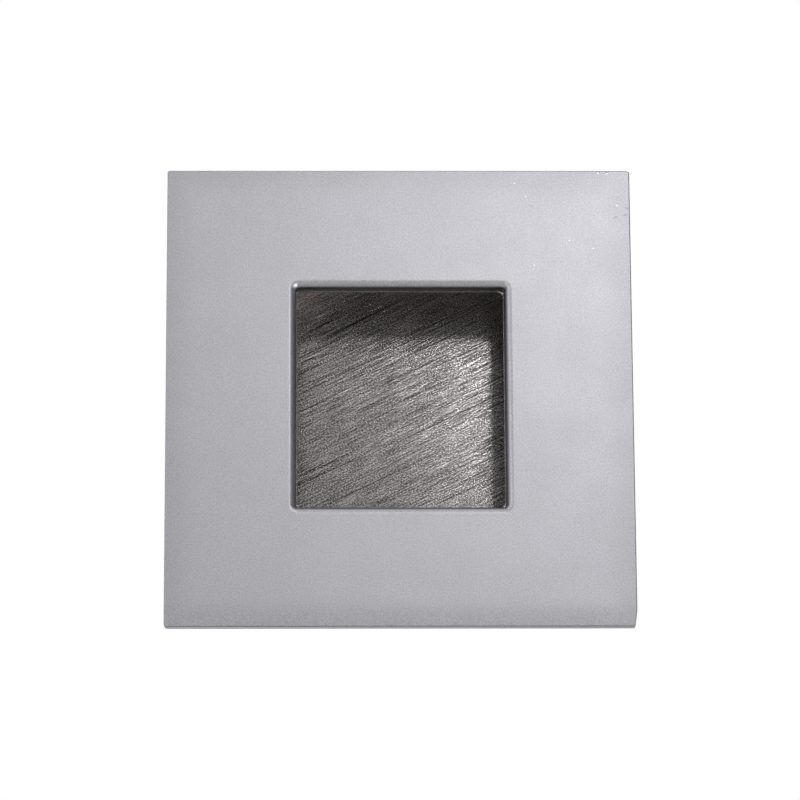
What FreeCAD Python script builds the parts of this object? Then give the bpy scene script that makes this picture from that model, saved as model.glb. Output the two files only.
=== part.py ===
import FreeCAD, Part
import os
import Sketcher

# Square pocket door pull: a thick square plate with a rounded finger opening, and behind it
# a shallow pan folded from brushed sheet, whose walls stand back under the plate so that the
# fingertips can hook behind the lip.
#
# Frame: X to the right and Z up across the door, Y into the door. The plate's back, which
# lies on the door's face, is the plane Y = 0. The plate stands out towards -Y and the pan
# goes into the door's mortise towards +Y. Both are centred on the Y axis.

# Driving dimensions in millimetres: name, value, what it is.
DIMENSIONS = [
    ("plate_width", 69.85, "plate across the door, 2-3/4 in"),
    ("plate_height", 69.85, "plate up the door, 2-3/4 in"),
    ("plate_thickness", 2.38, "plate from the door's face to its front, 3/32 in"),
    ("plate_corner_radius", 0.6, "the plate's four outer corners, seen from the front"),
    ("face_edge_radius", 0.25, "rounding of the front face's outer edge"),
    ("back_edge_break", 0.2, "chamfer on the back's outer edge"),
    ("opening_width", 31.2, "finger opening across, wall to wall"),
    ("opening_height", 33.5, "finger opening up and down, wall to wall"),
    ("opening_corner_radius", 0.35, "the opening's four corners"),
    ("lip_radius", 1.15, "rounded lip where the front face rolls into the opening"),
    ("seat_depth", 0.4, "step in the plate's back that the pan is set into"),
    ("seat_clearance", 0.1, "gap between the pan and the side of that step"),
    ("recess_depth", 17.0, "plate's front to the brushed floor"),
    ("undercut", 5.0, "how far the cavity reaches past the opening on every side"),
    ("sheet_thickness", 0.8, "the pan's sheet"),
    ("bend_radius", 0.8, "inside radius of the pan's folds"),
    ("mouth_step", 0.12, "how far the pan's turned-in edge shows inside the opening"),
    ("mouth_corner_radius", 0.9, "corners of the hole left by the turned-in edge"),
    ("weld_corner_radius", 0.4, "the pan's four welded corners, ground outside"),
]

doc = FreeCAD.newDocument("pocket_door_pull")
sheet = doc.addObject("Spreadsheet::Sheet", "dims")
for row, (alias, value, meaning) in enumerate(DIMENSIONS, start=1):
    sheet.set(f"A{row}", alias)
    sheet.set(f"B{row}", str(value))
    sheet.set(f"C{row}", meaning)
    sheet.setAlias(f"B{row}", alias)
doc.recompute()


def size(alias):
    return float(sheet.get(alias))


# Sizes that follow from the ones above, as expressions on the sheet.
FLOOR_Y = "(dims.recess_depth - dims.plate_thickness)"
CAVITY_WIDTH = "(dims.opening_width + 2 * dims.undercut)"
CAVITY_HEIGHT = "(dims.opening_height + 2 * dims.undercut)"
PAN_WIDTH = f"({CAVITY_WIDTH} + 2 * dims.sheet_thickness)"
PAN_HEIGHT = f"({CAVITY_HEIGHT} + 2 * dims.sheet_thickness)"
MOUTH_WIDTH = "(dims.opening_width - 2 * dims.mouth_step)"
MOUTH_HEIGHT = "(dims.opening_height - 2 * dims.mouth_step)"
OUTER_BEND = "dims.bend_radius + dims.sheet_thickness"


def new_body(label):
    body = doc.addObject("PartDesign::Body", label)
    body.Label = label
    return body


def front_sketch(body, name, y="0"):
    """A sketch that is seen from the front: its X is X, its Y is Z, and it lies at depth y."""
    sketch = body.newObject("Sketcher::SketchObject", name)
    plane = [p for p in body.Origin.OriginFeatures if p.Role == "XZ_Plane"][0]
    sketch.AttachmentSupport = (plane, [""])
    sketch.MapMode = "FlatFace"
    sketch.setExpression("AttachmentOffset.Base.z", f"-({y})")
    return sketch


def add_rectangle(sketch, name, width, height):
    """A rectangle centred on the sketch's origin, with its two sizes bound to the sheet."""
    first = sketch.GeometryCount
    corners = [FreeCAD.Vector(x, y, 0) for x, y in ((-9, -9), (9, -9), (9, 9), (-9, 9))]
    for start, end in zip(corners, corners[1:] + corners[:1]):
        sketch.addGeometry(Part.LineSegment(start, end), False)
    bottom, right, top, left = range(first, first + 4)
    for line, following in ((bottom, right), (right, top), (top, left), (left, bottom)):
        sketch.addConstraint(Sketcher.Constraint("Coincident", line, 2, following, 1))
    for line in (bottom, top):
        sketch.addConstraint(Sketcher.Constraint("Horizontal", line))
    for line in (left, right):
        sketch.addConstraint(Sketcher.Constraint("Vertical", line))
    sketch.addConstraint(Sketcher.Constraint("Symmetric", bottom, 1, top, 1, -1, 1))
    for axis, line, text in (("X", bottom, width), ("Y", right, height)):
        label = f"{name}_{axis.lower()}"
        index = sketch.addConstraint(
            Sketcher.Constraint(f"Distance{axis}", line, 1, line, 2, 18.0)
        )
        sketch.renameConstraint(index, label)
        sketch.setExpression(f"Constraints.{label}", text)


def pad(body, name, sketch, length, into_door=False):
    """Material from the sketch towards the front, or towards the door's inside."""
    feature = body.newObject("PartDesign::Pad", name)
    feature.Profile = sketch
    feature.setExpression("Length", length)
    feature.Reversed = into_door
    doc.recompute()
    return feature


def pocket(body, name, sketch, depth):
    """A cut from the sketch towards the front, which must take material away."""
    before = body.Shape.Volume
    feature = body.newObject("PartDesign::Pocket", name)
    feature.Profile = sketch
    feature.Reversed = True
    feature.setExpression("Length", depth)
    doc.recompute()
    if not body.Shape.Volume < before:
        raise RuntimeError(f"{name} cuts nothing")
    return feature


def dress(body, kind, name, edges, value):
    """A Fillet or Chamfer on the body's edges that the test accepts."""
    base = body.Tip
    chosen = [f"Edge{i}" for i, edge in enumerate(base.Shape.Edges, 1) if edges(edge)]
    if not chosen:
        raise RuntimeError(f"{name} finds no edge")
    feature = body.newObject(f"PartDesign::{kind}", name)
    feature.Base = (base, chosen)
    feature.setExpression("Radius" if kind == "Fillet" else "Size", value)
    doc.recompute()
    return feature


TOUCH = 1e-4


def along_y(edge):
    """True for a straight edge that runs into the door."""
    direction = edge.lastVertex().Point - edge.firstVertex().Point
    return abs(direction.x) < TOUCH and abs(direction.z) < TOUCH and abs(direction.y) > TOUCH


def edge_at(y, half_width, half_height):
    """A test for the edges of the rectangle of these half sizes in the plane at depth y."""

    def test(edge):
        box = edge.BoundBox
        if abs(box.YMin - y) > TOUCH or abs(box.YMax - y) > TOUCH:
            return False
        reach_x = max(abs(box.XMin), abs(box.XMax))
        reach_z = max(abs(box.ZMin), abs(box.ZMax))
        inside = reach_x < half_width + TOUCH and reach_z < half_height + TOUCH
        on_side = abs(reach_x - half_width) < TOUCH or abs(reach_z - half_height) < TOUCH
        return inside and on_side

    return test


def corner_edge(half_width, half_height):
    """A test for the four edges that run into the door at a rectangle's corners."""

    def test(edge):
        point = edge.firstVertex().Point
        at_corner = (
            abs(abs(point.x) - half_width) < TOUCH and abs(abs(point.z) - half_height) < TOUCH
        )
        return along_y(edge) and at_corner

    return test


# Face plate

def make_face_plate():
    plate_half = (size("plate_width") / 2, size("plate_height") / 2)
    opening_half = (size("opening_width") / 2, size("opening_height") / 2)
    front_y = -size("plate_thickness")

    body = new_body("face_plate")
    outline = front_sketch(body, "plate_outline")
    add_rectangle(outline, "plate", "dims.plate_width", "dims.plate_height")
    pad(body, "plate_slab", outline, "dims.plate_thickness")
    dress(body, "Fillet", "plate_corners", corner_edge(*plate_half), "dims.plate_corner_radius")

    opening = front_sketch(body, "opening_outline")
    add_rectangle(opening, "opening", "dims.opening_width", "dims.opening_height")
    pocket(body, "finger_opening", opening, "dims.plate_thickness")
    dress(
        body,
        "Fillet",
        "opening_corners",
        corner_edge(*opening_half),
        "dims.opening_corner_radius",
    )
    dress(body, "Fillet", "rolled_lip", edge_at(front_y, *opening_half), "dims.lip_radius")
    dress(body, "Fillet", "face_edge", edge_at(front_y, *plate_half), "dims.face_edge_radius")
    dress(body, "Chamfer", "back_edge", edge_at(0, *plate_half), "dims.back_edge_break")

    # The pan's turned-in edge is set into this step, which also squares it to the opening.
    seat = front_sketch(body, "seat_outline")
    add_rectangle(
        seat,
        "seat",
        f"{PAN_WIDTH} + 2 * dims.seat_clearance",
        f"{PAN_HEIGHT} + 2 * dims.seat_clearance",
    )
    pocket(body, "pan_seat", seat, "dims.seat_depth")
    return body


# Finger pan

def make_finger_pan():
    cavity_half = (
        size("opening_width") / 2 + size("undercut"),
        size("opening_height") / 2 + size("undercut"),
    )
    pan_half = tuple(half + size("sheet_thickness") for half in cavity_half)
    mouth_half = (
        size("opening_width") / 2 - size("mouth_step"),
        size("opening_height") / 2 - size("mouth_step"),
    )
    seat_y = -size("seat_depth")
    floor_y = size("recess_depth") - size("plate_thickness")

    body = new_body("finger_pan")
    walls = front_sketch(body, "wall_section", "-dims.seat_depth")
    add_rectangle(walls, "outside", PAN_WIDTH, PAN_HEIGHT)
    add_rectangle(walls, "inside", CAVITY_WIDTH, CAVITY_HEIGHT)
    wall_length = f"{FLOOR_Y} + dims.sheet_thickness + dims.seat_depth"
    pad(body, "four_walls", walls, wall_length, into_door=True)

    turned_in = front_sketch(body, "turned_in_outline", "-dims.seat_depth")
    add_rectangle(turned_in, "outside", PAN_WIDTH, PAN_HEIGHT)
    add_rectangle(turned_in, "mouth", MOUTH_WIDTH, MOUTH_HEIGHT)
    pad(body, "turned_in_edge", turned_in, "dims.sheet_thickness", into_door=True)

    floor = front_sketch(body, "floor_outline", FLOOR_Y)
    add_rectangle(floor, "floor", PAN_WIDTH, PAN_HEIGHT)
    pad(body, "brushed_floor", floor, "dims.sheet_thickness", into_door=True)

    dress(body, "Fillet", "mouth_corners", corner_edge(*mouth_half), "dims.mouth_corner_radius")
    dress(body, "Fillet", "welded_corners", corner_edge(*pan_half), "dims.weld_corner_radius")

    # Each fold is one sheet bent round: the same centre inside and outside.
    back_y = floor_y + size("sheet_thickness")
    inside_front_y = seat_y + size("sheet_thickness")
    for name, y, half, radius in (
        ("floor_fold_outside", back_y, pan_half, OUTER_BEND),
        ("edge_fold_outside", seat_y, pan_half, OUTER_BEND),
        ("floor_fold_inside", floor_y, cavity_half, "dims.bend_radius"),
        ("edge_fold_inside", inside_front_y, cavity_half, "dims.bend_radius"),
    ):
        dress(body, "Fillet", name, edge_at(y, *half), radius)
    return body


def check(parts):
    doc.recompute()
    for item in doc.Objects:
        if "Invalid" in item.State or "Error" in item.State:
            raise RuntimeError(f"{item.Label} failed: {item.State}")
    for body in parts:
        shape = body.Shape
        if shape.isNull() or not shape.isValid() or len(shape.Solids) != 1:
            raise RuntimeError(f"{body.Label} is not one valid solid")


def main():
    parts = [make_face_plate(), make_finger_pan()]
    check(parts)
    os.makedirs("parts", exist_ok=True)
    for body in parts:
        body.Shape.exportStep(f"parts/{body.Label}.step")
        box = body.Shape.BoundBox
        print(
            f"{body.Label}: {body.Shape.Volume:.1f} mm3, "
            f"X {box.XMin:.2f}..{box.XMax:.2f}, Y {box.YMin:.2f}..{box.YMax:.2f}, "
            f"Z {box.ZMin:.2f}..{box.ZMax:.2f}"
        )


main()
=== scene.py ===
# %% [markdown]
# A square flush pull for a sliding door: a thick satin plate with a rounded finger opening,
# and behind it a pan folded from brushed sheet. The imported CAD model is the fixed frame, so
# it is loaded first and says where each piece sits. Blender works in metres, with X to the
# right, Z up and Y into the door. Sizes are written in millimetres and turned into metres
# with MM, because that is how a workshop drawing gives them.

# %% Load the frame
import bmesh
import bpy
from math import inf, pi, radians
from mathutils import Euler, Matrix, Vector


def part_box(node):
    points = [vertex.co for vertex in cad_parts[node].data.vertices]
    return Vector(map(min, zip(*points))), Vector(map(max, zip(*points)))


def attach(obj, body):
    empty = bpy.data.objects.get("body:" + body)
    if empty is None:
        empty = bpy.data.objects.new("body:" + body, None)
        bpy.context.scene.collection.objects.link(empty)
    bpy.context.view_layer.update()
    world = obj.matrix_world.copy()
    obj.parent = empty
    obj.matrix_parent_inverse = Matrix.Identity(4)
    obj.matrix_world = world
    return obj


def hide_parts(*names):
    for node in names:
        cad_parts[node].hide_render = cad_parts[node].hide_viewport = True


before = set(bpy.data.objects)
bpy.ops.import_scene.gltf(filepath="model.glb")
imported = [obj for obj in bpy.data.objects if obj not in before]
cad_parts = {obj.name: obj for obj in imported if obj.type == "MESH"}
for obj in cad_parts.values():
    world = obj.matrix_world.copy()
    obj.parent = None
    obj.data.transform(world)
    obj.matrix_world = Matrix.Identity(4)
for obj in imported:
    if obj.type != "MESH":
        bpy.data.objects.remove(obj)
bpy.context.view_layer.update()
MM = 0.001

# %% [markdown]
# The camera stands in front of the pull and below its middle, a little to the left, and looks
# up at it. That is why the plate looks narrower at its top. It could be placed by eye, but a
# plate with straight edges shows an error of one degree, so the place and the turn were
# fitted to the plate's four corners and the opening's edges. A long lens at about 57 cm keeps
# the plate's sides nearly parallel, and no shift of the lens is needed.

# %% Camera
CAMERA_AT = Vector((-12.74, -554.58, -127.23)) * MM
DEGREES_UP = 12.891
DEGREES_RIGHT = 1.331
DEGREES_ROLL = -0.2895
FOCAL_LENGTH = 171.2
SENSOR = 36.0

view = bpy.data.cameras.new("camera")
view.sensor_width = SENSOR
view.lens = FOCAL_LENGTH
camera = bpy.data.objects.new("camera", view)
bpy.context.scene.collection.objects.link(camera)
aim = Euler((radians(90 + DEGREES_UP), 0, radians(-DEGREES_RIGHT))).to_matrix()
roll = Matrix.Rotation(radians(DEGREES_ROLL), 3, "Z")
camera.matrix_world = Matrix.Translation(CAMERA_AT) @ (aim @ roll).to_4x4()
bpy.context.scene.camera = camera
bpy.context.scene.view_settings.view_transform = "Standard"
print("camera is", round(CAMERA_AT.length, 3), "m from the pull")

# %% [markdown]
# Materials and the studio are both built from nodes. Each node could be made and linked with
# three lines of its own, but a finish has dozens, so a small workbench comes first. It adds a
# node, sets its inputs from plain numbers or from other nodes' outputs, and hands back what
# the next node needs. Reading a material then goes from top to bottom, like a recipe.

# %% Node workbench
class Bench:
    """Adds nodes to one node tree, each a column to the right of the one before."""

    COLUMN_WIDTH = 180
    ROW_HEIGHT = 160
    ROWS = 5
    # a mix node has sockets for each kind of data, and these are the ones for colours
    MIX_SHARE, MIX_FIRST, MIX_SECOND, MIXED = 0, 6, 7, 2

    def __init__(self, tree):
        self.tree = tree
        self.column = 0

    def node(self, kind, inputs=None, **settings):
        node = self.tree.nodes.new(kind)
        row = self.column % self.ROWS
        node.location = (self.column * self.COLUMN_WIDTH, -row * self.ROW_HEIGHT)
        self.column += 1
        for name, value in settings.items():
            setattr(node, name, value)
        for key, value in (inputs or {}).items():
            self.feed(node.inputs[key], value)
        return node

    def feed(self, socket, value):
        if isinstance(value, bpy.types.NodeSocket):
            self.tree.links.new(value, socket)
        elif isinstance(value, (tuple, Vector)) and socket.type == "RGBA" and len(value) == 3:
            socket.default_value = (*value, 1)
        else:
            socket.default_value = value

    def math(self, operation, *values):
        inputs = dict(enumerate(values))
        return self.node("ShaderNodeMath", inputs, operation=operation).outputs[0]

    def vector(self, operation, first, second=None, scale=None):
        inputs = {0: first}
        if second is not None:
            inputs[1] = second
        if scale is not None:
            inputs["Scale"] = scale
        node = self.node("ShaderNodeVectorMath", inputs, operation=operation)
        return node.outputs["Value" if operation in ("DOT_PRODUCT", "LENGTH") else "Vector"]

    def ramp(self, value, low, high, to_low=0.0, to_high=1.0):
        """value from low to high becomes to_low to to_high, softly at both ends."""
        inputs = {"Value": value, "From Min": low, "From Max": high}
        inputs |= {"To Min": to_low, "To Max": to_high}
        kind = "ShaderNodeMapRange"
        return self.node(kind, inputs, interpolation_type="SMOOTHSTEP").outputs["Result"]

    def mix(self, share, first, second):
        """Colours: first where share is 0, second where it is 1."""
        node = self.node("ShaderNodeMix", data_type="RGBA")
        self.feed(node.inputs[self.MIX_SHARE], share)
        self.feed(node.inputs[self.MIX_FIRST], first)
        self.feed(node.inputs[self.MIX_SECOND], second)
        return node.outputs[self.MIXED]

    def blend(self, kind, share, first, second):
        """As mix, but with one of Blender's ways to blend colours, such as MULTIPLY."""
        mixed = self.mix(share, first, second)
        mixed.node.blend_type = kind
        return mixed

    def grey(self, value):
        """A grey colour of this brightness."""
        parts = {"Red": value, "Green": value, "Blue": value}
        return self.node("ShaderNodeCombineColor", parts).outputs[0]

    def noise(self, place, scale, detail=2.0, roughness=0.5):
        inputs = {"Vector": place, "Scale": scale, "Detail": detail, "Roughness": roughness}
        return self.node("ShaderNodeTexNoise", inputs).outputs["Fac"]


# %% [markdown]
# A metal shows what stands round it, so the studio matters as much as the finish. The camera
# sees plain white all round. The metal sees a dark room instead, with soft round reflectors:
# the two brightest low at the right, several at the left and overhead, four behind for whoever
# walks round the pull, and hardly any level with it at the right. That is what draws the dark
# and light lines on the rolled lip, and it keeps the shaded part of the recess dark, which a
# white room can't. A picture of a room could light it too, but a list of reflectors can be
# read and tuned one by one. Each fades towards its rim like a real soft light. Matt surfaces
# see the plain white room.

# %% White studio
ROOM_WHITE = (1.0, 1.0, 1.0)
# how fast a glow fades: at this much below a cosine of one it is down to about a third
REFLECTOR_SPREAD = 0.04
REFLECTORS = [
    # degrees to the right of the way the pull faces, degrees up, brightness
    (0, -80, 0.25),
    (45, -30, 3.0),
    (60, -45, 3.2),
    (-60, -60, 1.3),
    (-45, -15, 1.2),
    (-15, -15, 1.3),
    (-75, 15, 0.45),
    (-45, 15, 1.3),
    (-15, 15, 0.28),
    (-60, 45, 1.8),
    (20, 45, 1.5),
    (0, 75, 1.0),
    (-115, 10, 0.7),
    (95, 0, 0.25),
    (180, 35, 0.9),
    (180, -10, 1.2),
    (-135, -10, 0.9),
    (135, -10, 0.9),
]

world = bpy.data.worlds.new("white_studio")
bpy.context.scene.world = world
world.use_nodes = True
world.node_tree.nodes.clear()
room = Bench(world.node_tree)
looking = room.node("ShaderNodeTexCoord").outputs["Generated"]
for_metal = 0.0
for azimuth, elevation, brightness in REFLECTORS:
    middle = Vector((0, -1, 0))
    middle.rotate(Euler((radians(-elevation), 0, radians(azimuth))))
    closeness = room.vector("DOT_PRODUCT", looking, middle)
    falloff = room.math("DIVIDE", room.math("SUBTRACT", closeness, 1.0), REFLECTOR_SPREAD)
    glow = room.math("MULTIPLY", room.math("EXPONENT", falloff), brightness)
    for_metal = room.math("ADD", for_metal, glow)
ray = room.node("ShaderNodeLightPath").outputs
seen = room.math("MAXIMUM", ray["Is Camera Ray"], ray["Is Transmission Ray"])
unseen = room.mix(ray["Is Glossy Ray"], ROOM_WHITE, for_metal)
air = room.mix(seen, unseen, ROOM_WHITE)
shown = room.node("ShaderNodeBackground", {"Color": air, "Strength": 1.0})
room.node("ShaderNodeOutputWorld", {"Surface": shown.outputs[0]})
world.cycles.sampling_method = "NONE"
print("studio:", len(REFLECTORS), "reflectors")

# %% [markdown]
# The pull's front is lit by one soft lamp, up and to the right of the camera, close to where
# the plate would mirror it. A sun would light the whole plate alike. A small soft lamp this
# near makes the plate brighter towards its upper right and lets the opening's edge throw a
# shadow with a soft border on the recessed floor. A second, wide lamp stands behind and above
# for whoever walks round the pull.

# %% Lamps
def lamp(name, at, side, radiance):
    """A square lamp of this side in mm, turned to the pull, as bright as the radiance says."""
    light = bpy.data.lights.new(name, "AREA")
    light.shape = "SQUARE"
    light.size = side * MM
    light.energy = radiance * pi * light.size**2
    holder = bpy.data.objects.new(name, light)
    bpy.context.scene.collection.objects.link(holder)
    facing = (-Vector(at)).to_track_quat("-Z", "Y").to_matrix()
    holder.matrix_world = Matrix.Translation(Vector(at) * MM) @ facing.to_4x4()
    print(name, round(light.energy, 2), "W")
    return holder


lamp("front_lamp", (114, -580, 196), side=120, radiance=9.2)
lamp("back_lamp", (-260, 480, 420), side=400, radiance=1.5)

# %% [markdown]
# The pull is held up in front of white, so the floor lies well below it. It is a plain pale
# sheet, wide enough for a camera that looks down at the pull from any side. Its own glow,
# which only the camera sees, brings it up to white without more light on the metal. The
# metal doesn't mirror it: a sheet this wide would fill the lower half of every reflection and
# hide the low reflectors.

# %% Floor
FLOOR_DOWN = 0.55
FLOOR_SIDE = 40.0
PAPER_GREY = (0.8, 0.8, 0.8)
PAPER_GLOW = 0.55

bpy.ops.object.select_all(action="DESELECT")
bpy.ops.mesh.primitive_plane_add(size=FLOOR_SIDE, location=(0, 0, -FLOOR_DOWN))
bpy.ops.object.transform_apply(location=True, rotation=True, scale=True)
floor = bpy.context.object
floor.name = "studio_floor"
paper = bpy.data.materials.new("pale_paper")
paper.use_nodes = True
paper.node_tree.nodes.clear()
sheet = Bench(paper.node_tree)
eye = sheet.node("ShaderNodeLightPath").outputs
seen_directly = sheet.math("MAXIMUM", eye["Is Camera Ray"], eye["Is Transmission Ray"])
lit = sheet.node(
    "ShaderNodeBsdfPrincipled",
    {
        "Base Color": PAPER_GREY,
        "Roughness": 0.9,
        "Emission Color": (1.0, 1.0, 1.0),
        "Emission Strength": sheet.math("MULTIPLY", seen_directly, PAPER_GLOW),
    },
)
sheet.node("ShaderNodeOutputMaterial", {"Surface": lit.outputs[0]})
floor.data.materials.append(paper)
floor.visible_glossy = False
print("floor:", FLOOR_SIDE, "m wide,", FLOOR_DOWN, "m down")

# %% [markdown]
# The pieces are modelled in edit mode with Blender's own operators. An operator works on
# whatever is selected. By hand that is a click, and in code it could be a list of numbers of
# faces, which breaks with the first change. So one helper selects by place and direction: a
# face on the front, the edges round the opening, the four corners. Places are compared in
# millimetres.

# %% Select by place
SLACK = 0.01


def start_piece(name):
    """The primitive just added becomes a named piece, with its place and size in its mesh."""
    piece = bpy.context.object
    piece.name = piece.data.name = name
    bpy.ops.object.transform_apply(location=True, rotation=True, scale=True)
    bpy.ops.object.mode_set(mode="EDIT")
    return piece


def choose(kind, test):
    """Selects only the verts, edges or faces whose middle in mm, and direction, pass the test."""
    bpy.ops.mesh.select_mode(type=kind)
    bpy.ops.mesh.select_all(action="DESELECT")
    mesh = bpy.context.edit_object.data
    shape = bmesh.from_edit_mesh(mesh)
    shape.normal_update()
    chosen = 0
    for part in {"VERT": shape.verts, "EDGE": shape.edges, "FACE": shape.faces}[kind]:
        if kind == "VERT":
            middle, direction = part.co, part.normal
        elif kind == "EDGE":
            start, end = (vertex.co for vertex in part.verts)
            middle, direction = (start + end) / 2, (end - start).normalized()
        else:
            middle, direction = part.calc_center_median(), part.normal
        if test(middle / MM, direction):
            part.select_set(True)
            chosen += 1
    shape.select_flush_mode()
    bmesh.update_edit_mesh(mesh)
    if not chosen:
        raise RuntimeError(f"nothing chosen on {mesh.name}")
    return chosen


def near(a, b, slack=SLACK):
    return abs(a - b) < slack


def shrunk(half, margin):
    """Half sizes of a rectangle that is smaller by the margin on each side."""
    return half - Vector((margin, 0, margin))


# %% [markdown]
# The face plate is a square slab with the finger opening through it and a shallow step in its
# back that the pan is set into. The CAD solid has the same form, but the real plate has been
# filed, ground and knocked, so it is modelled again with those marks. A boolean would cut the
# opening, but it leaves no say in where the faces end. Here the slab is cut along the
# opening's four sides, and the front and back squares inside are bridged. What these cuts
# leave beyond the corners is dissolved, and one cut across the middle of each side keeps the
# ring in four parts instead, so that no line ends in a corner of the opening: a bevel would
# slide along such a line and spoil its round.

# %% Slab with the opening
plate_low, plate_high = (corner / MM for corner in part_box("face_plate"))
pan_low, pan_high = (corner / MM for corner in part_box("finger_pan"))
FRONT_Y = plate_low.y
PLATE_HALF = Vector((plate_high.x, 0, plate_high.z))
OPENING_HALF = Vector((15.6, 0, 16.75))
SEAT_ROOM = 0.1
SEAT_HALF = Vector((pan_high.x + SEAT_ROOM, 0, pan_high.z + SEAT_ROOM))
SEAT_DEPTH = 0.4

bpy.ops.object.select_all(action="DESELECT")
bpy.ops.mesh.primitive_cube_add(size=1, location=(0, FRONT_Y * MM / 2, 0))
bpy.context.object.scale = (2 * PLATE_HALF.x * MM, -FRONT_Y * MM, 2 * PLATE_HALF.z * MM)
plate = start_piece("satin_face_plate")


def cut_across(faces, place, way):
    """Cuts the faces that pass the test along a plane through a place in mm."""
    choose("FACE", faces)
    bpy.ops.mesh.bisect(plane_co=place * MM, plane_no=way, use_fill=False)


def cut_round(faces, half):
    """Cuts these faces along the four sides of a rectangle of these half sizes."""
    for side in (Vector((half.x, 0, 0)), Vector((0, 0, half.z))):
        for place in (side, -side):
            cut_across(faces, place, side.normalized())


def within(half):
    """A test for the flat faces, front or back, inside a rectangle."""
    return lambda at, way: abs(way.y) > 0.9 and abs(at.x) < half.x and abs(at.z) < half.z


def on_front(at, way):
    return way.y < -0.9


def on_back(at, way):
    return way.y > 0.9


cut_round(lambda at, way: True, OPENING_HALF)
cut_round(on_back, SEAT_HALF)
on_seat = within(SEAT_HALF)
choose("FACE", lambda at, way: on_back(at, way) and on_seat(at, way))
bpy.ops.mesh.extrude_region_move(TRANSFORM_OT_translate={"value": (0, -SEAT_DEPTH * MM, 0)})
choose("FACE", within(OPENING_HALF))
bpy.ops.mesh.bridge_edge_loops()


def past_corner(half):
    """A test for what the cuts left on a rectangle's lines beyond its corners."""

    def test(at, way):
        beside = near(abs(at.x), half.x) and abs(at.z) > half.z + 0.1
        above = near(abs(at.z), half.z) and abs(at.x) > half.x + 0.1
        return beside or above

    return test


for way in ((1, 0, 0), (0, 0, 1)):
    cut_across(lambda at, way: True, Vector((0, 0, 0)), way)
for half in (OPENING_HALF, SEAT_HALF):
    choose("EDGE", past_corner(half))
    bpy.ops.mesh.dissolve_edges(use_verts=True)
print("slab:", len(bmesh.from_edit_mesh(plate.data).faces), "faces")

# %% [markdown]
# The four edges aren't alike any more. The top one has been dressed with the file, a fifth of
# a millimetre down and a touch further at the left, and the left one by half as much. The
# upper right corner has had a knock that took a sliver off it, and the lower right edge was
# filed a little too far. The corners could be moved one by one, but each mark is one flat
# cut through the slab that throws the outside away and fills the gap, as a file does.

# %% Filed edges and a knocked corner
TOP_EDGE = 34.75
TOP_TILT = 0.0011
LEFT_EDGE = -34.79
SHAVES = [
    # a place on the cut as right and up, and the way the cut faces
    ((30, TOP_EDGE), (-TOP_TILT, 1)),
    ((LEFT_EDGE, 0), (-1, 0)),
    ((34.615, 34.66), (0.447, 0.894)),
    ((34.77, -33.7), (0.992, -0.125)),
]

for (x, z), (way_x, way_z) in SHAVES:
    bpy.ops.mesh.select_all(action="SELECT")
    bpy.ops.mesh.bisect(
        plane_co=Vector((x, 0, z)) * MM,
        plane_no=(way_x, 0, way_z),
        use_fill=True,
        clear_outer=True,
    )
print("filed slab:", len(bmesh.from_edit_mesh(plate.data).faces), "faces")

# %% [markdown]
# Near its lower edge the front was ground a little lower, by six hundredths of a millimetre
# over the last three and a half. Such a slope can't be seen from the side, but a satin face
# turns darker on it. A bump could fake it, but a shape keeps its shading in every light. It
# is cut into the front as a few lines across it, and then every corner of the front is
# pushed back by where it lies between them. That takes in the corner that the filed right
# edge has there, which would otherwise stand out and leave a crease.

# %% Lower edge falls away
# height above the lower edge, and how far the front lies back there
FALL = [(3.4, 0.0), (3.0, 0.002), (2.4, 0.009), (1.7, 0.022), (0.9, 0.041), (0.0, 0.06)]
FALL_AT_EDGE = FALL[-1][1]


def fall_at(up):
    """How far the front lies back at this height above the lower edge."""
    for (upper, less), (lower, more) in zip(FALL, FALL[1:]):
        if lower <= up <= upper:
            return less + (more - less) * (upper - up) / (upper - lower)
    return 0.0


for up, _ in FALL[:-1]:
    cut_across(on_front, Vector((0, 0, up - PLATE_HALF.z)), (0, 0, 1))
corners = [vertex.co / MM for vertex in bmesh.from_edit_mesh(plate.data).verts]
heights = {round(at.z, 3) for at in corners if near(at.y, FRONT_Y)}
SAME_HEIGHT = 0.001
for height in sorted(heights):
    back = fall_at(max(height + PLATE_HALF.z, 0.0))
    if back:
        choose("VERT", lambda at, way: near(at.z, height, SAME_HEIGHT) and near(at.y, FRONT_Y))
        bpy.ops.transform.translate(value=(0, back * MM, 0))
print("lower edge falls back by", FALL_AT_EDGE, "mm")

# %% [markdown]
# On the real plate the front rolls into the opening over a full quarter round, and the outer
# edge is only eased. The round could be swept along the opening as a profile, but then its
# rims have to be sewn to the flats. A bevel of the edge loop with a round profile is the same
# thing as running a radius cutter along it, and stays one mesh. The corners that run into
# the door go first, so that the loops already turn smoothly when they are rolled. Outside,
# only the two left corners are worn round.

# %% Rolled lip and eased edges
LIP_RADIUS = 1.15
OPENING_CORNER = 0.35
# which corner as right and up, and its radius
CORNER_RADII = {(-1, 1): 0.3, (-1, -1): 0.55}
FACE_EDGE = 0.16
BACK_BREAK = 0.2
# no filed edge lies further in from the drawn outline than this
FILED_AT_MOST = 0.3
RIM = 0.35


def bevel(radius, segments):
    bpy.ops.mesh.bevel(
        offset=radius * MM, segments=segments, profile=0.5, affect="EDGES", loop_slide=False
    )


def runs_in(half):
    """A test for the four edges that run into the door at a rectangle's corners."""

    def test(at, way):
        return abs(way.y) > 0.9 and near(abs(at.x), half.x) and near(abs(at.z), half.z)

    return test


def rim_at(y, inner, outer):
    """A test for the edges at depth y whose middles lie between two rectangles."""

    def test(at, way):
        inside = abs(at.x) < outer.x + SLACK and abs(at.z) < outer.z + SLACK
        outside = abs(at.x) > inner.x or abs(at.z) > inner.z
        level = near(at.y, y, FALL_AT_EDGE + SLACK) and abs(way.y) < 0.1
        return level and inside and outside

    return test


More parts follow.
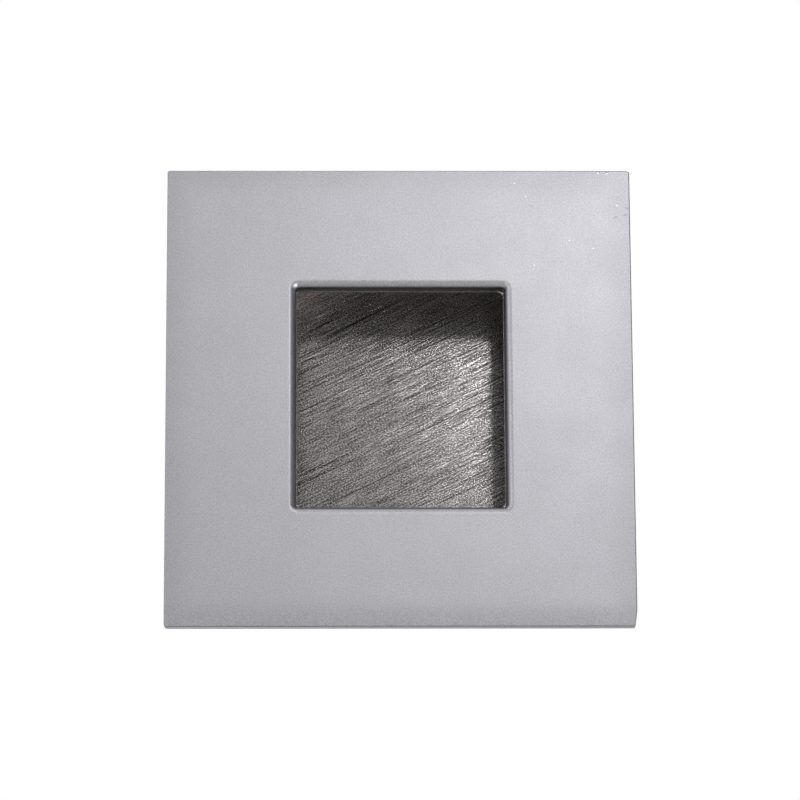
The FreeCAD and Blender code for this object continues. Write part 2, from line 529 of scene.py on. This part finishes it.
def beside(drawn):
    """A test for the edge whose middle lies no further from a drawn corner than was filed."""

    def test(at, way):
        return near(at.x, drawn.x, FILED_AT_MOST) and near(at.z, drawn.z, FILED_AT_MOST)

    return test


choose("EDGE", runs_in(OPENING_HALF))
bevel(OPENING_CORNER, segments=6)
for (right, up), radius in CORNER_RADII.items():
    corner = Vector((right * PLATE_HALF.x, 0, up * PLATE_HALF.z))
    choose("EDGE", beside(corner))
    bevel(radius, segments=5)
choose("EDGE", rim_at(FRONT_Y, shrunk(OPENING_HALF, OPENING_CORNER), OPENING_HALF))
bevel(LIP_RADIUS, segments=12)
choose("EDGE", rim_at(FRONT_Y, shrunk(PLATE_HALF, RIM), PLATE_HALF))
bevel(FACE_EDGE, segments=6)
choose("EDGE", rim_at(0, shrunk(PLATE_HALF, RIM), PLATE_HALF))
bevel(BACK_BREAK, segments=2)
print("dressed plate:", len(bmesh.from_edit_mesh(plate.data).faces), "faces")

# %% [markdown]
# The opening wasn't cut quite in the middle: on the photo it lies a quarter of a millimetre
# to the right and a little low. The CAD keeps it centred, as drawn. It could have been cut
# there from the start, but a slab that is the same on both sides is easier to select on. So
# everything inside the lip's outer line is pushed over now, as the cutter was.

# %% Opening off centre
OFF_CENTRE = Vector((0.25, 0, -0.18))


def inside(half):
    return lambda at, way: abs(at.x) < half.x and abs(at.z) < half.z


PAST_LIP = 0.05
pushed = choose("VERT", inside(shrunk(OPENING_HALF, -LIP_RADIUS - PAST_LIP)))
bpy.ops.transform.translate(value=OFF_CENTRE * MM)
bpy.ops.object.mode_set(mode="OBJECT")
print("opening pushed over:", pushed, "vertices")

# %% [markdown]
# Near the knocked corner the top edge has three small nicks, as a key or a ring leaves them.
# Painted on they would show from the front alone. A nick is cut the way it comes about: a
# small hard ball is pressed into the edge and taken away again with a boolean.

# %% Nicks in the top edge
# how far to the right, and the ball's radius
NICKS = [(30.3, 0.27), (31.55, 0.32), (30.85, 0.16)]
OFF_EDGE = 0.02


def finish_with(piece, kind, **settings):
    """Adds a modifier with these settings and applies it."""
    bpy.context.view_layer.objects.active = piece
    modifier = piece.modifiers.new(kind.lower(), kind)
    for name, value in settings.items():
        setattr(modifier, name, value)
    bpy.ops.object.modifier_apply(modifier=modifier.name)


for x, radius in NICKS:
    bpy.ops.object.select_all(action="DESELECT")
    bpy.ops.mesh.primitive_ico_sphere_add(
        subdivisions=2,
        radius=radius * MM,
        location=Vector((x, FRONT_Y - OFF_EDGE, TOP_EDGE - OFF_EDGE)) * MM,
    )
    ball = bpy.context.object
    finish_with(plate, "BOOLEAN", object=ball, operation="DIFFERENCE", solver="EXACT")
    bpy.data.objects.remove(ball)
print("nicked plate:", len(plate.data.polygons), "faces")

# %% [markdown]
# The pan is made here as it is in the workshop. A blank is cut flat from brushed sheet: a
# floor, four walls and four flanges with mitred ends. It is laid out as one plane whose edges
# are extruded outwards. While it is still flat, its X and Z are kept as a UV map, so that the
# brush strokes later run straight over the folds, as they do on real folded sheet. Mapping a
# finished box would cut the strokes off at each fold.
# One unit of the map is UV_MM of sheet.

# %% Blank of the pan, cut flat
SHEET = 0.8
BEND_RADIUS = 0.8
MOUTH_STEP = 0.12
FLOOR_Y = pan_high.y - SHEET
FLANGE_Y = pan_low.y + SHEET
CAVITY_HALF = Vector((pan_high.x - SHEET, 0, pan_high.z - SHEET))
MOUTH_HALF = shrunk(OPENING_HALF, MOUTH_STEP)
WALL = FLOOR_Y - FLANGE_Y
FLANGE = CAVITY_HALF.x - MOUTH_HALF.x
SIDES = [Vector((1, 0, 0)), Vector((0, 0, 1)), Vector((-1, 0, 0)), Vector((0, 0, -1))]
UV_MM = 10.0

bpy.ops.object.select_all(action="DESELECT")
bpy.ops.mesh.primitive_plane_add(
    size=1, location=(0, FLOOR_Y * MM, 0), rotation=(radians(90), 0, 0)
)
bpy.context.object.scale = (2 * CAVITY_HALF.x * MM, 2 * CAVITY_HALF.z * MM, 1)
pan = start_piece("brushed_finger_pan")


def on_flap(side, low, high):
    """A test for what lies on one side's flap, its middle between two distances out."""
    across = Vector((side.z, 0, side.x))
    return lambda at, way: low < at.dot(side) < high and abs(at.dot(across)) < 1


for side in SIDES:
    reach = abs(CAVITY_HALF.dot(side))
    for length in (WALL, FLANGE):
        flap_end = on_flap(side, reach - SLACK, reach + SLACK)
        choose("EDGE", lambda at, way: flap_end(at, way) and abs(way.dot(side)) < 0.1)
        bpy.ops.mesh.extrude_region_move(TRANSFORM_OT_translate={"value": side * length * MM})
        reach += length
    narrow_x = MOUTH_HALF.x / CAVITY_HALF.x if side.z else 1
    narrow_z = MOUTH_HALF.z / CAVITY_HALF.z if side.x else 1
    bpy.ops.transform.resize(value=(narrow_x, 1, narrow_z), center_override=side * reach * MM)
bpy.ops.object.mode_set(mode="OBJECT")

flat_sheet = pan.data.uv_layers.new(name="flat_sheet")
for loop in pan.data.loops:
    at = pan.data.vertices[loop.vertex_index].co / MM
    flat_sheet.data[loop.index].uv = (at.x / UV_MM, at.z / UV_MM)
print("blank:", len(pan.data.polygons), "faces,", round(2 * reach, 1), "mm high")

# %% [markdown]
# Each flange is folded up first and then its wall with it, a quarter turn each time round the
# fold line. The walls could be extruded upwards at once, but the map of the flat sheet would
# then not know them. The pivot is given to the operator outright. Where the folded walls and
# flanges meet, their corners are merged, which stands for the weld.

# %% Fold it up
bpy.ops.object.mode_set(mode="EDIT")
for side in SIDES:
    reach = abs(CAVITY_HALF.dot(side))
    for fold_at in (reach + WALL, reach):
        choose("FACE", on_flap(side, fold_at, inf))
        fold_line = side * fold_at + Vector((0, FLOOR_Y, 0))
        bpy.ops.transform.rotate(
            value=radians(90) * (side.x - side.z),
            orient_axis="Z" if side.x else "X",
            center_override=fold_line * MM,
        )
bpy.ops.mesh.select_all(action="SELECT")
bpy.ops.mesh.remove_doubles(threshold=SLACK * MM)
print("folded:", len(bmesh.from_edit_mesh(pan.data).verts), "vertices")

# %% [markdown]
# A sheet can't be folded sharp, so the eight folds get the bend's inside radius, and the
# mouth that the flanges leave gets its round corners and is pushed over with the opening. Two
# shells, one in the other, could drift apart. Solidify gives the sheet one thickness
# everywhere, outwards, so that each fold has one centre inside and outside. The welded
# corners are ground to a small radius last, on the outside alone.

# %% Bends, thickness and ground corners
MOUTH_CORNER = 0.9
WELD_CORNER = 0.4


def is_fold(at, way):
    on_wall = near(abs(at.x), CAVITY_HALF.x) or near(abs(at.z), CAVITY_HALF.z)
    return on_wall and abs(way.y) < 0.1


choose("EDGE", is_fold)
bevel(BEND_RADIUS, segments=8)
choose(
    "VERT",
    lambda at, way: near(abs(at.x), MOUTH_HALF.x) and near(abs(at.z), MOUTH_HALF.z),
)
bpy.ops.mesh.bevel(offset=MOUTH_CORNER * MM, segments=8, affect="VERTICES")
choose("VERT", inside(shrunk(OPENING_HALF, 0)))
bpy.ops.transform.translate(value=OFF_CENTRE * MM)
bpy.ops.object.mode_set(mode="OBJECT")
finish_with(pan, "SOLIDIFY", thickness=SHEET * MM, offset=-1, use_even_offset=True)

BEND_CENTRE = shrunk(CAVITY_HALF, BEND_RADIUS)
ON_MITRE = 0.05
PAST_BEND_CENTRE = 0.15


def is_outer_corner(at, way):
    """True for the corner edges that lie outside the middle of the sheet."""
    x, z = abs(at.x) - BEND_CENTRE.x, abs(at.z) - BEND_CENTRE.z
    deep = at.y - min(max(at.y, FLANGE_Y + BEND_RADIUS), FLOOR_Y - BEND_RADIUS)
    on_mitre = near(x, z, ON_MITRE) and near(abs(way.x), abs(way.z), ON_MITRE)
    outside = Vector((x, deep)).length > BEND_RADIUS + SHEET / 2
    return on_mitre and x > PAST_BEND_CENTRE and outside


bpy.ops.object.mode_set(mode="EDIT")
choose("EDGE", is_outer_corner)
bevel(WELD_CORNER, segments=4)
bpy.ops.object.mode_set(mode="OBJECT")
print("pan:", len(pan.data.polygons), "faces")

# %% [markdown]
# Both pieces have large flat faces beside narrow rounds. Smooth shading alone would bend the
# flat faces' shading into the rounds, so a weighted normal finish lets each large face keep
# its own direction. Edges sharper than forty degrees stay crisp.

# %% Smooth rounds, flat faces
CRISP_ANGLE = 40
for piece in (plate, pan):
    bpy.ops.object.select_all(action="DESELECT")
    piece.select_set(True)
    bpy.context.view_layer.objects.active = piece
    bpy.ops.object.shade_smooth_by_angle(angle=radians(CRISP_ANGLE))
    finish_with(piece, "WEIGHTED_NORMAL", keep_sharp=True, weight=80)
    print(piece.name, len(piece.data.polygons), "faces")
bpy.ops.object.select_all(action="DESELECT")

# %% [markdown]
# Each effect on the metal is a node group with its own inputs, so that a finish places it
# with its own values. The first is used by both finishes. It is the cloudiness of worked
# metal: soft patches of slightly different tone, and apart from them a fine grain. It could
# be a scanned picture, but noise has no seams and no end. It reads a place in millimetres and
# gives masks that swing round a half, mostly between NOISE_LOW and NOISE_HIGH.

# %% Cloud and grain group
NOISE_LOW, NOISE_HIGH = 0.3, 0.7


def new_group(name, inputs, outputs):
    """A node group with named inputs, each with its kind and value, and named outputs."""
    tree = bpy.data.node_groups.new(name, "ShaderNodeTree")
    kinds = {"value": "NodeSocketFloat", "vector": "NodeSocketVector"}
    for label, (kind, value) in inputs.items():
        socket = tree.interface.new_socket(label, in_out="INPUT", socket_type=kinds[kind])
        if kind == "value":
            socket.default_value = value
    for label in outputs:
        tree.interface.new_socket(label, in_out="OUTPUT", socket_type=kinds["value"])
    return tree, Bench(tree)


cloudy_grain, bench = new_group(
    "cloudy_grain",
    {
        "Place": ("vector", None),
        "Cloud Size": ("value", 8.0),
        "Grain Size": ("value", 0.15),
    },
    ["Cloud", "Grain"],
)
given = bench.node("NodeGroupInput").outputs
clouds = bench.noise(given["Place"], bench.math("DIVIDE", 1.0, given["Cloud Size"]), 4.0, 0.55)
grain = bench.noise(given["Place"], bench.math("DIVIDE", 1.0, given["Grain Size"]), 2.0, 0.6)
bench.node("NodeGroupOutput", {"Cloud": clouds, "Grain": grain})
print(cloudy_grain.name, "has", len(cloudy_grain.nodes), "nodes")

# %% [markdown]
# The second is the pan's own, the mark of an abrasive belt: strokes along one direction,
# crossed by the chatter of the grit, which leaves short bright and dark dashes in rows, and
# here and there one deeper cut. Thousands of strokes could be modelled, but nobody would see
# their shape. The place is turned to the strokes' direction and squeezed across it, so that
# round noise turns into long strokes. The chatter colours the metal and stays out of the
# height, where its short dips would scatter the long highlight.

# %% Brush stroke group
brush_strokes, bench = new_group(
    "brush_strokes",
    {
        "Place": ("vector", None),
        "Angle": ("value", 0.0),
        "Length": ("value", 3.0),
        "Width": ("value", 0.15),
        "Chatter": ("value", 1.0),
    },
    ["Height", "Dash", "Scratch"],
)
given = bench.node("NodeGroupInput").outputs
turned = bench.node(
    "ShaderNodeVectorRotate",
    {"Vector": given["Place"], "Angle": given["Angle"]},
    rotation_type="Z_AXIS",
    invert=True,
).outputs[0]


def stretched(length, width, detail, roughness=0.5):
    """Noise in strokes this many times the group's own length and width."""
    squeeze = bench.node(
        "ShaderNodeCombineXYZ",
        {
            "X": bench.math("DIVIDE", 1.0 / length, given["Length"]),
            "Y": bench.math("DIVIDE", 1.0 / width, given["Width"]),
        },
    ).outputs[0]
    return bench.noise(bench.vector("MULTIPLY", turned, squeeze), 1.0, detail, roughness)


FINE_SHARE, BROAD_SHARE = 0.65, 0.35
LINES_IN_DASH = 0.6
DASH_SWING = 0.25
SCRATCH_FROM, SCRATCH_FULL = 0.7, 0.76

fine = stretched(length=1.0, width=1.0, detail=1.0)
broad = stretched(length=3.0, width=4.0, detail=1.0)
grit = stretched(length=0.045, width=0.8, detail=0.0)
cuts = stretched(length=7.0, width=1.2, detail=0.0)
fine_part = bench.math("MULTIPLY", fine, FINE_SHARE)
broad_part = bench.math("MULTIPLY", broad, BROAD_SHARE)
stroke = bench.math("ADD", fine_part, broad_part)
chatter = bench.math("MULTIPLY", bench.math("SUBTRACT", grit, 0.5), given["Chatter"])
lines = bench.math("MULTIPLY", bench.math("SUBTRACT", fine, 0.5), LINES_IN_DASH)
dash = bench.ramp(bench.math("ADD", chatter, lines), -DASH_SWING, DASH_SWING)
scratch = bench.ramp(cuts, SCRATCH_FROM, SCRATCH_FULL)
height = bench.math("SUBTRACT", stroke, scratch)
bench.node("NodeGroupOutput", {"Height": height, "Dash": dash, "Scratch": scratch})
print(brush_strokes.name, "has", len(brush_strokes.nodes), "nodes")


def place_group(bench, tree, inputs):
    """Puts a shared group into a material and gives back its outputs."""
    node = bench.node("ShaderNodeGroup", node_tree=tree)
    for key, value in inputs.items():
        bench.feed(node.inputs[key], value)
    return node.outputs


# %% [markdown]
# The third is used by both again: a single mark, a long thin ellipse at a place of its own.
# It is a scuff, a bright speck painted as a highlight, a deep scratch or, large and soft, a
# pale patch of dust and painted glow. Noise can't put a mark where one is wanted. The place
# is moved and turned to the mark and measured in its half length and half width, so that the
# distance is one on its outline.

# %% Single mark group
single_mark, bench = new_group(
    "single_mark",
    {
        "Place": ("vector", None),
        "At": ("vector", None),
        "Angle": ("value", 0.0),
        "Length": ("value", 1.0),
        "Width": ("value", 0.2),
        "Core": ("value", 0.5),
    },
    ["Mask"],
)
given = bench.node("NodeGroupInput").outputs
turned = bench.node(
    "ShaderNodeVectorRotate",
    {"Vector": bench.vector("SUBTRACT", given["Place"], given["At"]), "Angle": given["Angle"]},
    rotation_type="Z_AXIS",
    invert=True,
).outputs[0]
halves = bench.node("ShaderNodeCombineXYZ", {"X": given["Length"], "Y": given["Width"], "Z": 1.0})
measured = bench.vector("DIVIDE", bench.vector("SCALE", turned, scale=2.0), halves.outputs[0])
outwards = bench.vector("LENGTH", bench.vector("MULTIPLY", measured, (1.0, 1.0, 0.0)))
bench.node("NodeGroupOutput", {"Mask": bench.ramp(outwards, 1.0, given["Core"])})


def marks(bench, place, table):
    """One mask for a table of marks: middle, angle, length, width and core of each."""
    mask = 0.0
    for (right, up), angle, length, width, core in table:
        inputs = {"Place": place, "At": Vector((right, up, 0)), "Angle": radians(angle)}
        inputs |= {"Length": length, "Width": width, "Core": core}
        mask = bench.math("MAXIMUM", mask, place_group(bench, single_mark, inputs)["Mask"])
    return mask


print(single_mark.name, "has", len(single_mark.nodes), "nodes")


# %% [markdown]
# The plate is cast or milled metal with a satin face: cool grey, evenly blasted, with soft
# clouds and hardly any direction. Its colour is nearly even. A brushed look would need
# anisotropy, but what makes this satin is a middling roughness and a grain too fine to see
# as bumps, which only shows as a slight sparkle. The colour is a little darker towards the
# border, the wall of the opening is painted dark as shade behind the rounded lip, and near
# the upper right the front alone has five scuffs where it was touched and eight bright
# specks, which are painted highlights.

# %% Satin plate
PLATE_GREY = Vector((0.56, 0.555, 0.593))
DARK_GRAIN, LIGHT_GRAIN = 0.88, 1.13
DARK_CLOUD, LIGHT_CLOUD = 0.985, 1.015
ROUGH_CLOUD, SMOOTH_CLOUD = 0.425, 0.415
WALL_SHADE_GREY = (0.1, 0.1, 0.105)
WALL_FROM, WALL_FULL = -1.85, -1.6
SCUFF_TINT = (0.72, 0.72, 0.74)
PAINTED_GLINT_GREY = (0.96, 0.96, 0.98)
BORDER_FROM, BORDER_TONE = 0.85, 0.91
LIP_ROOM = 2.0
# of each mark: its middle as right and up, its angle, length, width and full core
SCUFFS = [
    ((32.8, 27.5), 15, 0.9, 0.3, 0.4),
    ((34.2, 27.8), 8, 1.1, 0.35, 0.4),
    ((34.5, 28.85), -22, 1.0, 0.3, 0.4),
    ((20.1, 29.25), -12, 1.1, 0.25, 0.2),
    ((26.2, 31.6), 0, 0.8, 0.2, 0.2),
]
# Bright specks painted as highlights; the last two sit at the nicks in the top edge.
PAINTED_GLINTS = [
    ((32.99, 29.3), 0, 0.3, 0.36, 0.3),
    ((17.49, 32.79), 0, 0.34, 0.28, 0.3),
    ((19.19, 30.69), 0, 0.3, 0.34, 0.2),
    ((25.69, 23.82), 0, 0.28, 0.32, 0.3),
    ((29.29, 22.58), 0, 0.28, 0.32, 0.2),
    ((20.37, 20.0), 0, 0.4, 0.28, 0.3),
    ((31.55, 34.35), 0, 0.5, 0.5, 0.4),
    ((30.2, 34.4), 0, 0.4, 0.36, 0.3),
]

satin = bpy.data.materials.new("satin_plate_metal")
satin.use_nodes = True
satin.node_tree.nodes.clear()
bench = Bench(satin.node_tree)
place = bench.node("ShaderNodeTexCoord").outputs["Object"]
in_mm = bench.vector("SCALE", place, scale=1 / MM)
at = bench.node("ShaderNodeSeparateXYZ", {"Vector": in_mm}).outputs
mottle = place_group(
    bench, cloudy_grain, {"Place": in_mm, "Cloud Size": 7.0, "Grain Size": 0.2}
)
grain_share = bench.ramp(mottle["Grain"], NOISE_LOW, NOISE_HIGH)
colour = bench.mix(grain_share, tuple(PLATE_GREY * DARK_GRAIN), tuple(PLATE_GREY * LIGHT_GRAIN))
cloud_tone = bench.ramp(mottle["Cloud"], NOISE_LOW, NOISE_HIGH, DARK_CLOUD, LIGHT_CLOUD)
colour = bench.blend("MULTIPLY", 1.0, colour, bench.grey(cloud_tone))


def to_border(half):
    """1 on the border of a rectangle round the middle, less inside it, more outside."""
    across = bench.math("DIVIDE", bench.math("ABSOLUTE", at["X"]), half.x)
    up = bench.math("DIVIDE", bench.math("ABSOLUTE", at["Z"]), half.z)
    return bench.math("MAXIMUM", across, up)


# The colour is a little darker towards the plate's border.
border_darkening = bench.ramp(to_border(PLATE_HALF), BORDER_FROM, 1.0, 1.0, BORDER_TONE)
colour = bench.blend("MULTIPLY", 1.0, colour, bench.grey(border_darkening))
# The wall inside the opening, behind the rounded lip, is painted dark as shade.
in_opening = bench.math("LESS_THAN", to_border(shrunk(OPENING_HALF, -LIP_ROOM)), 1.0)
painted_wall_shade = bench.math("MULTIPLY", in_opening, bench.ramp(at["Y"], WALL_FROM, WALL_FULL))
colour = bench.mix(painted_wall_shade, colour, WALL_SHADE_GREY)
flat_place = bench.node("ShaderNodeCombineXYZ", {"X": at["X"], "Y": at["Z"]}).outputs[0]
in_front = bench.math("LESS_THAN", at["Y"], FRONT_Y / 2)
scuffed = bench.math("MULTIPLY", marks(bench, flat_place, SCUFFS), in_front)
colour = bench.blend("MULTIPLY", scuffed, colour, SCUFF_TINT)
# The specks are painted highlights, mixed towards near white on the front alone.
painted_glints = bench.math("MULTIPLY", marks(bench, flat_place, PAINTED_GLINTS), in_front)
colour = bench.mix(painted_glints, colour, PAINTED_GLINT_GREY)
roughness = bench.ramp(mottle["Cloud"], NOISE_LOW, NOISE_HIGH, ROUGH_CLOUD, SMOOTH_CLOUD)
bump = bench.node(
    "ShaderNodeBump", {"Strength": 0.25, "Distance": 0.01 * MM, "Height": mottle["Grain"]}
)
metal = bench.node(
    "ShaderNodeBsdfPrincipled",
    {
        "Base Color": colour,
        "Metallic": 1.0,
        "Roughness": roughness,
        "Normal": bump.outputs[0],
    },
)
bench.node("ShaderNodeOutputMaterial", {"Surface": metal.outputs[0]})
print(satin.name, "has", len(satin.node_tree.nodes), "nodes")

# %% [markdown]
# The pan's sheet is warmer and darker than the plate and coarsely brushed. The strokes rise
# to the right at about twenty-six degrees. Bump alone would break a highlight up without
# stretching it, so the shader's own anisotropy does the stretching and the strokes' height is
# added as bump on top. The anisotropy is turned a quarter turn from the sheet's own left and
# right, and not exactly across the strokes, because the bright patch in the photo stands
# upright. Uneven tones and four deep scratches belong to this one pull, and a pale matt patch
# in the upper left is partly dust and partly painted glow. Scratches and that patch lie inside
# the pan, so they are kept off its outside, and the turned-in flange is painted darker as
# shade in the mouth.

# %% Brushed pan
STROKE_ANGLE = 25.8
STROKE_LENGTH, STROKE_WIDTH = 5.0, 0.2
DARK_DASH, LIGHT_DASH = (0.13, 0.115, 0.115), (1.0, 0.95, 0.95)
CUT_SHARE, CUT_GREY = 0.8, (0.04, 0.03, 0.03)
EDGE_SHADE_GREY = (0.25, 0.24, 0.24)
EDGE_FROM, EDGE_FULL = 0.8, 0.4
SCRATCH_GREY = (0.012, 0.01, 0.01)
DARK_TONE, LIGHT_TONE = 0.9, 1.08
DUST_AND_GLOW_SHARE = 0.7
DUST_AND_GLOW_DARK, DUST_AND_GLOW_LIGHT = (0.16, 0.135, 0.125), (1.0, 0.9, 0.84)
STROKE_DEPTH = 0.08
QUARTER_TURN = 0.25
DEEP_SCRATCHES = [
    ((-5.07, 15.9), 27.3, 20.0, 0.34, 0.3),
    ((-11.4, 14.85), 25.8, 9.0, 0.25, 0.3),
    ((-11.2, 18.9), 21.0, 8.0, 0.25, 0.3),
    ((-13.2, 9.6), 23.0, 4.5, 0.25, 0.3),
]
DUST_AND_GLOW = [((-17.5, 20.0), 25.8, 26.0, 18.0, 0.1)]

brushed = bpy.data.materials.new("brushed_pan_metal")
brushed.use_nodes = True
brushed.node_tree.nodes.clear()
bench = Bench(brushed.node_tree)
unfolded = bench.node("ShaderNodeUVMap", uv_map="flat_sheet").outputs[0]
in_mm = bench.vector("SCALE", unfolded, scale=UV_MM)
strokes = place_group(
    bench,
    brush_strokes,
    {
        "Place": in_mm,
        "Angle": radians(STROKE_ANGLE),
        "Length": STROKE_LENGTH,
        "Width": STROKE_WIDTH,
        "Chatter": 1.0,
    },
)
colour = bench.mix(strokes["Dash"], DARK_DASH, LIGHT_DASH)
colour = bench.mix(bench.math("MULTIPLY", strokes["Scratch"], CUT_SHARE), colour, CUT_GREY)
place = bench.node("ShaderNodeTexCoord").outputs["Object"]
place_mm = bench.vector("SCALE", place, scale=1 / MM)
at = bench.node("ShaderNodeSeparateXYZ", {"Vector": place_mm}).outputs
# The turned-in flange at the front of the pan is painted darker as shade.
colour = bench.mix(bench.ramp(at["Y"], EDGE_FROM, EDGE_FULL), colour, EDGE_SHADE_GREY)
within_walls = bench.math("LESS_THAN", to_border(shrunk(CAVITY_HALF, -SHEET / 2)), 1.0)
above_floor = bench.math("LESS_THAN", at["Y"], FLOOR_Y + SHEET / 2)
in_cavity = bench.math("MULTIPLY", within_walls, above_floor)
scratched = bench.math("MULTIPLY", marks(bench, in_mm, DEEP_SCRATCHES), in_cavity)
colour = bench.mix(scratched, colour, SCRATCH_GREY)
tones = place_group(bench, cloudy_grain, {"Place": in_mm, "Cloud Size": 6.0})
tone = bench.ramp(tones["Cloud"], NOISE_LOW, NOISE_HIGH, DARK_TONE, LIGHT_TONE)
colour = bench.blend("MULTIPLY", 1.0, colour, bench.grey(tone))
# A pale matt patch, partly dust and partly painted glow, brightens the cavity's upper left.
dust_and_glow_share = bench.math("MULTIPLY", in_cavity, DUST_AND_GLOW_SHARE)
dust_and_glow = bench.math("MULTIPLY", marks(bench, in_mm, DUST_AND_GLOW), dust_and_glow_share)
colour = bench.mix(dust_and_glow, colour, bench.mix(strokes["Dash"], DUST_AND_GLOW_DARK, DUST_AND_GLOW_LIGHT))
bump = bench.node(
    "ShaderNodeBump", {"Strength": 1.0, "Distance": STROKE_DEPTH * MM, "Height": strokes["Height"]}
)
sheet_right = bench.node("ShaderNodeTangent", direction_type="UV_MAP", uv_map="flat_sheet")
metal = bench.node(
    "ShaderNodeBsdfPrincipled",
    {
        "Base Color": colour,
        "Metallic": bench.math("SUBTRACT", 1.0, dust_and_glow),
        "Roughness": 0.2,
        "Anisotropic": 0.78,
        "Anisotropic Rotation": QUARTER_TURN,
        "Normal": bump.outputs[0],
        "Tangent": sheet_right.outputs[0],
    },
)
bench.node("ShaderNodeOutputMaterial", {"Surface": metal.outputs[0]})
print(brushed.name, "has", len(brushed.node_tree.nodes), "nodes")

# %% [markdown]
# Each piece gets its finish, takes the place of its CAD node, and rides on the one body that
# a pull without moving parts has.

# %% Pieces on the frame
for piece, finish, node, slot in (
    (plate, satin, "face_plate", "satin_plate"),
    (pan, brushed, "finger_pan", "brushed_pan"),
):
    piece.data.materials.clear()
    piece.data.materials.append(finish)
    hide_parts(node)
    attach(piece, "root")
    print(piece.name, "stands for", node)
